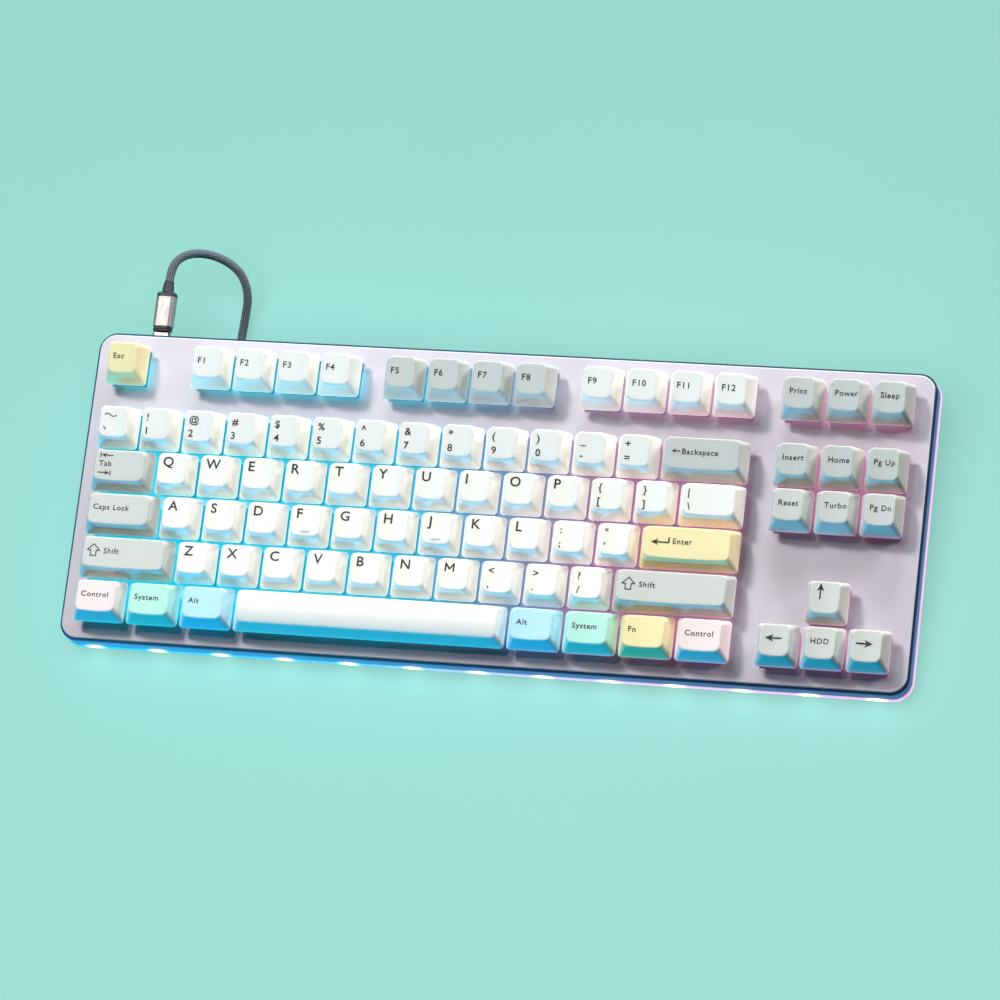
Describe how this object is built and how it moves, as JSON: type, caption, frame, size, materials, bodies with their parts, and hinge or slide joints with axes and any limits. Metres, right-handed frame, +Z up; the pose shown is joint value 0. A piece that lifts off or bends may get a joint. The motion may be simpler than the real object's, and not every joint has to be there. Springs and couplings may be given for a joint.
{
  "type": "mechanical keyboard",
  "caption": "Tenkeyless mechanical keyboard with a low aluminium case, dished pastel keycaps on sprung switches, a lit edge and a braided cable.",
  "frame": {"origin": "on the desk, under the middle of the keyboard's box without its cable", "axes": "+X to the typist's right along the key rows, +Y to the back, +Z up"},
  "size_m": [0.3678, 0.1794, 0.046],
  "materials": {
    "anodised_frame": "satin anodised",
    "cover_dark": "satin anodised, dark blue",
    "diffuser": "frosted, lit from inside",
    "board": "black solder mask",
    "chip": "moulded epoxy",
    "housing_black": "moulded nylon",
    "housing_clear": "milky polycarbonate",
    "spring_steel": "drawn wire",
    "led": "lit cyan to pink across the board",
    "screw_steel": "black zinc",
    "port_steel": "drawn shell",
    "foot_rubber": "matt",
    "plug_steel": "nickel plated",
    "plug_sleeve": "bead-blasted, dark moulded ends",
    "boot": "moulded",
    "braid": "braided sleeve",
    "strap": "woven hook-and-loop strap",
    "cap_white": "fine-grained PBT",
    "cap_grey": "fine-grained PBT",
    "cap_yellow": "fine-grained PBT",
    "cap_pink": "fine-grained PBT",
    "cap_mint": "fine-grained PBT",
    "cap_blue": "fine-grained PBT"
  },
  "bodies": {
    "case": {"bottom_cover": "cover_dark", "cable_coil": "braid", "cable_tie": "strap", "case_screws": "screw_steel", "circuit_board": "board", "controller_chip": "chip", "far_plug": "plug_sleeve", "far_plug_tip": "plug_steel", "front_feet": "foot_rubber", "key_leds": "led", "light_diffuser": "diffuser", "rear_feet": "foot_rubber", "stabiliser_housings": "housing_black", "strain_relief": "boot", "switch_lower_housings": "housing_black", "switch_springs": "spring_steel", "switch_upper_housings": "housing_clear", "top_frame": "anodised_frame", "usb_cable": "braid", "usb_plug_sleeve": "plug_sleeve", "usb_plug_tip": "plug_steel", "usb_port": "port_steel"},
    "key_backslash_body": {"key_backslash": "cap_white"},
    "key_backspace_body": {"key_backspace": "cap_grey"},
    "key_caps_lock_body": {"key_caps_lock": "cap_grey"},
    "key_down_body": {"key_down": "cap_grey"},
    "key_enter_body": {"key_enter": "cap_yellow"},
    "key_esc_body": {"key_esc": "cap_yellow"},
    "key_fn_body": {"key_fn": "cap_yellow"},
    "key_left_body": {"key_left": "cap_grey"},
    "key_left_alt_body": {"key_left_alt": "cap_blue"},
    "key_left_control_body": {"key_left_control": "cap_pink"},
    "key_left_shift_body": {"key_left_shift": "cap_grey"},
    "key_left_system_body": {"key_left_system": "cap_mint"},
    "key_right_body": {"key_right": "cap_grey"},
    "key_right_alt_body": {"key_right_alt": "cap_blue"},
    "key_right_control_body": {"key_right_control": "cap_pink"},
    "key_right_shift_body": {"key_right_shift": "cap_grey"},
    "key_right_system_body": {"key_right_system": "cap_mint"},
    "key_space_body": {"key_space": "cap_white"},
    "key_tab_body": {"key_tab": "cap_grey"},
    "key_up_body": {"key_up": "cap_grey"},
    "keys_0_p_semicolon_slash_body": {"keys_0_p_semicolon_slash": "cap_white"},
    "keys_1_q_a_z_body": {"keys_1_q_a_z": "cap_white"},
    "keys_2_w_s_x_body": {"keys_2_w_s_x": "cap_white"},
    "keys_3_e_d_c_body": {"keys_3_e_d_c": "cap_white"},
    "keys_4_r_f_v_body": {"keys_4_r_f_v": "cap_white"},
    "keys_5_t_g_b_body": {"keys_5_t_g_b": "cap_white"},
    "keys_6_y_h_n_body": {"keys_6_y_h_n": "cap_white"},
    "keys_7_u_j_m_body": {"keys_7_u_j_m": "cap_white"},
    "keys_8_i_k_comma_body": {"keys_8_i_k_comma": "cap_white"},
    "keys_9_o_l_period_body": {"keys_9_o_l_period": "cap_white"},
    "keys_equal_bracket_body": {"keys_equal_bracket": "cap_white"},
    "keys_f1_to_f4_body": {"keys_f1_to_f4": "cap_white"},
    "keys_f5_to_f8_body": {"keys_f5_to_f8": "cap_grey"},
    "keys_f9_to_f12_body": {"keys_f9_to_f12": "cap_white"},
    "keys_insert_home_pgup_body": {"keys_insert_home_pgup": "cap_grey"},
    "keys_minus_bracket_quote_body": {"keys_minus_bracket_quote": "cap_white"},
    "keys_print_power_sleep_body": {"keys_print_power_sleep": "cap_grey"},
    "keys_reset_turbo_pgdn_body": {"keys_reset_turbo_pgdn": "cap_grey"}
  },
  "joints": [
    {"name": "press_backslash", "type": "slide", "parent": "case", "child": "key_backslash_body", "axis": [0, 0.1045, -0.9945], "range_m": [0, 0.004], "stiffness_N_per_m": 100, "springref_m": -0.003, "deforming": ["switch_springs"]},
    {"name": "press_backspace", "type": "slide", "parent": "case", "child": "key_backspace_body", "axis": [0, 0.1045, -0.9945], "range_m": [0, 0.004], "stiffness_N_per_m": 100, "springref_m": -0.003, "deforming": ["switch_springs"]},
    {"name": "press_caps_lock", "type": "slide", "parent": "case", "child": "key_caps_lock_body", "axis": [0, 0.1045, -0.9945], "range_m": [0, 0.004], "stiffness_N_per_m": 100, "springref_m": -0.003, "deforming": ["switch_springs"]},
    {"name": "press_down", "type": "slide", "parent": "case", "child": "key_down_body", "axis": [0, 0.1045, -0.9945], "range_m": [0, 0.004], "stiffness_N_per_m": 100, "springref_m": -0.003, "deforming": ["switch_springs"]},
    {"name": "press_enter", "type": "slide", "parent": "case", "child": "key_enter_body", "axis": [0, 0.1045, -0.9945], "range_m": [0, 0.004], "stiffness_N_per_m": 100, "springref_m": -0.003, "deforming": ["switch_springs"]},
    {"name": "press_esc", "type": "slide", "parent": "case", "child": "key_esc_body", "axis": [0, 0.1045, -0.9945], "range_m": [0, 0.004], "stiffness_N_per_m": 100, "springref_m": -0.003, "deforming": ["switch_springs"]},
    {"name": "press_fn", "type": "slide", "parent": "case", "child": "key_fn_body", "axis": [0, 0.1045, -0.9945], "range_m": [0, 0.004], "stiffness_N_per_m": 100, "springref_m": -0.003, "deforming": ["switch_springs"]},
    {"name": "press_left", "type": "slide", "parent": "case", "child": "key_left_body", "axis": [0, 0.1045, -0.9945], "range_m": [0, 0.004], "stiffness_N_per_m": 100, "springref_m": -0.003, "deforming": ["switch_springs"]},
    {"name": "press_left_alt", "type": "slide", "parent": "case", "child": "key_left_alt_body", "axis": [0, 0.1045, -0.9945], "range_m": [0, 0.004], "stiffness_N_per_m": 100, "springref_m": -0.003, "deforming": ["switch_springs"]},
    {"name": "press_left_control", "type": "slide", "parent": "case", "child": "key_left_control_body", "axis": [0, 0.1045, -0.9945], "range_m": [0, 0.004], "stiffness_N_per_m": 100, "springref_m": -0.003, "deforming": ["switch_springs"]},
    {"name": "press_left_shift", "type": "slide", "parent": "case", "child": "key_left_shift_body", "axis": [0, 0.1045, -0.9945], "range_m": [0, 0.004], "stiffness_N_per_m": 100, "springref_m": -0.003, "deforming": ["switch_springs"]},
    {"name": "press_left_system", "type": "slide", "parent": "case", "child": "key_left_system_body", "axis": [0, 0.1045, -0.9945], "range_m": [0, 0.004], "stiffness_N_per_m": 100, "springref_m": -0.003, "deforming": ["switch_springs"]},
    {"name": "press_right", "type": "slide", "parent": "case", "child": "key_right_body", "axis": [0, 0.1045, -0.9945], "range_m": [0, 0.004], "stiffness_N_per_m": 100, "springref_m": -0.003, "deforming": ["switch_springs"]},
    {"name": "press_right_alt", "type": "slide", "parent": "case", "child": "key_right_alt_body", "axis": [0, 0.1045, -0.9945], "range_m": [0, 0.004], "stiffness_N_per_m": 100, "springref_m": -0.003, "deforming": ["switch_springs"]},
    {"name": "press_right_control", "type": "slide", "parent": "case", "child": "key_right_control_body", "axis": [0, 0.1045, -0.9945], "range_m": [0, 0.004], "stiffness_N_per_m": 100, "springref_m": -0.003, "deforming": ["switch_springs"]},
    {"name": "press_right_shift", "type": "slide", "parent": "case", "child": "key_right_shift_body", "axis": [0, 0.1045, -0.9945], "range_m": [0, 0.004], "stiffness_N_per_m": 100, "springref_m": -0.003, "deforming": ["switch_springs"]},
    {"name": "press_right_system", "type": "slide", "parent": "case", "child": "key_right_system_body", "axis": [0, 0.1045, -0.9945], "range_m": [0, 0.004], "stiffness_N_per_m": 100, "springref_m": -0.003, "deforming": ["switch_springs"]},
    {"name": "press_space", "type": "slide", "parent": "case", "child": "key_space_body", "axis": [0, 0.1045, -0.9945], "range_m": [0, 0.004], "stiffness_N_per_m": 100, "springref_m": -0.003, "deforming": ["switch_springs"]},
    {"name": "press_tab", "type": "slide", "parent": "case", "child": "key_tab_body", "axis": [0, 0.1045, -0.9945], "range_m": [0, 0.004], "stiffness_N_per_m": 100, "springref_m": -0.003, "deforming": ["switch_springs"]},
    {"name": "press_up", "type": "slide", "parent": "case", "child": "key_up_body", "axis": [0, 0.1045, -0.9945], "range_m": [0, 0.004], "stiffness_N_per_m": 100, "springref_m": -0.003, "deforming": ["switch_springs"]},
    {"name": "press_0_p_semicolon_slash", "type": "slide", "parent": "case", "child": "keys_0_p_semicolon_slash_body", "axis": [0, 0.1045, -0.9945], "range_m": [0, 0.004], "stiffness_N_per_m": 400, "springref_m": -0.003, "deforming": ["switch_springs"]},
    {"name": "press_1_q_a_z", "type": "slide", "parent": "case", "child": "keys_1_q_a_z_body", "axis": [0, 0.1045, -0.9945], "range_m": [0, 0.004], "stiffness_N_per_m": 500, "springref_m": -0.003, "deforming": ["switch_springs"]},
    {"name": "press_2_w_s_x", "type": "slide", "parent": "case", "child": "keys_2_w_s_x_body", "axis": [0, 0.1045, -0.9945], "range_m": [0, 0.004], "stiffness_N_per_m": 400, "springref_m": -0.003, "deforming": ["switch_springs"]},
    {"name": "press_3_e_d_c", "type": "slide", "parent": "case", "child": "keys_3_e_d_c_body", "axis": [0, 0.1045, -0.9945], "range_m": [0, 0.004], "stiffness_N_per_m": 400, "springref_m": -0.003, "deforming": ["switch_springs"]},
    {"name": "press_4_r_f_v", "type": "slide", "parent": "case", "child": "keys_4_r_f_v_body", "axis": [0, 0.1045, -0.9945], "range_m": [0, 0.004], "stiffness_N_per_m": 400, "springref_m": -0.003, "deforming": ["switch_springs"]},
    {"name": "press_5_t_g_b", "type": "slide", "parent": "case", "child": "keys_5_t_g_b_body", "axis": [0, 0.1045, -0.9945], "range_m": [0, 0.004], "stiffness_N_per_m": 400, "springref_m": -0.003, "deforming": ["switch_springs"]},
    {"name": "press_6_y_h_n", "type": "slide", "parent": "case", "child": "keys_6_y_h_n_body", "axis": [0, 0.1045, -0.9945], "range_m": [0, 0.004], "stiffness_N_per_m": 400, "springref_m": -0.003, "deforming": ["switch_springs"]},
    {"name": "press_7_u_j_m", "type": "slide", "parent": "case", "child": "keys_7_u_j_m_body", "axis": [0, 0.1045, -0.9945], "range_m": [0, 0.004], "stiffness_N_per_m": 400, "springref_m": -0.003, "deforming": ["switch_springs"]},
    {"name": "press_8_i_k_comma", "type": "slide", "parent": "case", "child": "keys_8_i_k_comma_body", "axis": [0, 0.1045, -0.9945], "range_m": [0, 0.004], "stiffness_N_per_m": 400, "springref_m": -0.003, "deforming": ["switch_springs"]},
    {"name": "press_9_o_l_period", "type": "slide", "parent": "case", "child": "keys_9_o_l_period_body", "axis": [0, 0.1045, -0.9945], "range_m": [0, 0.004], "stiffness_N_per_m": 400, "springref_m": -0.003, "deforming": ["switch_springs"]},
    {"name": "press_equal_bracket", "type": "slide", "parent": "case", "child": "keys_equal_bracket_body", "axis": [0, 0.1045, -0.9945], "range_m": [0, 0.004], "stiffness_N_per_m": 200, "springref_m": -0.003, "deforming": ["switch_springs"]},
    {"name": "press_f1_to_f4", "type": "slide", "parent": "case", "child": "keys_f1_to_f4_body", "axis": [0, 0.1045, -0.9945], "range_m": [0, 0.004], "stiffness_N_per_m": 400, "springref_m": -0.003, "deforming": ["switch_springs"]},
    {"name": "press_f5_to_f8", "type": "slide", "parent": "case", "child": "keys_f5_to_f8_body", "axis": [0, 0.1045, -0.9945], "range_m": [0, 0.004], "stiffness_N_per_m": 400, "springref_m": -0.003, "deforming": ["switch_springs"]},
    {"name": "press_f9_to_f12", "type": "slide", "parent": "case", "child": "keys_f9_to_f12_body", "axis": [0, 0.1045, -0.9945], "range_m": [0, 0.004], "stiffness_N_per_m": 400, "springref_m": -0.003, "deforming": ["switch_springs"]},
    {"name": "press_insert_home_pgup", "type": "slide", "parent": "case", "child": "keys_insert_home_pgup_body", "axis": [0, 0.1045, -0.9945], "range_m": [0, 0.004], "stiffness_N_per_m": 300, "springref_m": -0.003, "deforming": ["switch_springs"]},
    {"name": "press_minus_bracket_quote", "type": "slide", "parent": "case", "child": "keys_minus_bracket_quote_body", "axis": [0, 0.1045, -0.9945], "range_m": [0, 0.004], "stiffness_N_per_m": 300, "springref_m": -0.003, "deforming": ["switch_springs"]},
    {"name": "press_print_power_sleep", "type": "slide", "parent": "case", "child": "keys_print_power_sleep_body", "axis": [0, 0.1045, -0.9945], "range_m": [0, 0.004], "stiffness_N_per_m": 300, "springref_m": -0.003, "deforming": ["switch_springs"]},
    {"name": "press_reset_turbo_pgdn", "type": "slide", "parent": "case", "child": "keys_reset_turbo_pgdn_body", "axis": [0, 0.1045, -0.9945], "range_m": [0, 0.004], "stiffness_N_per_m": 300, "springref_m": -0.003, "deforming": ["switch_springs"]}
  ]
}
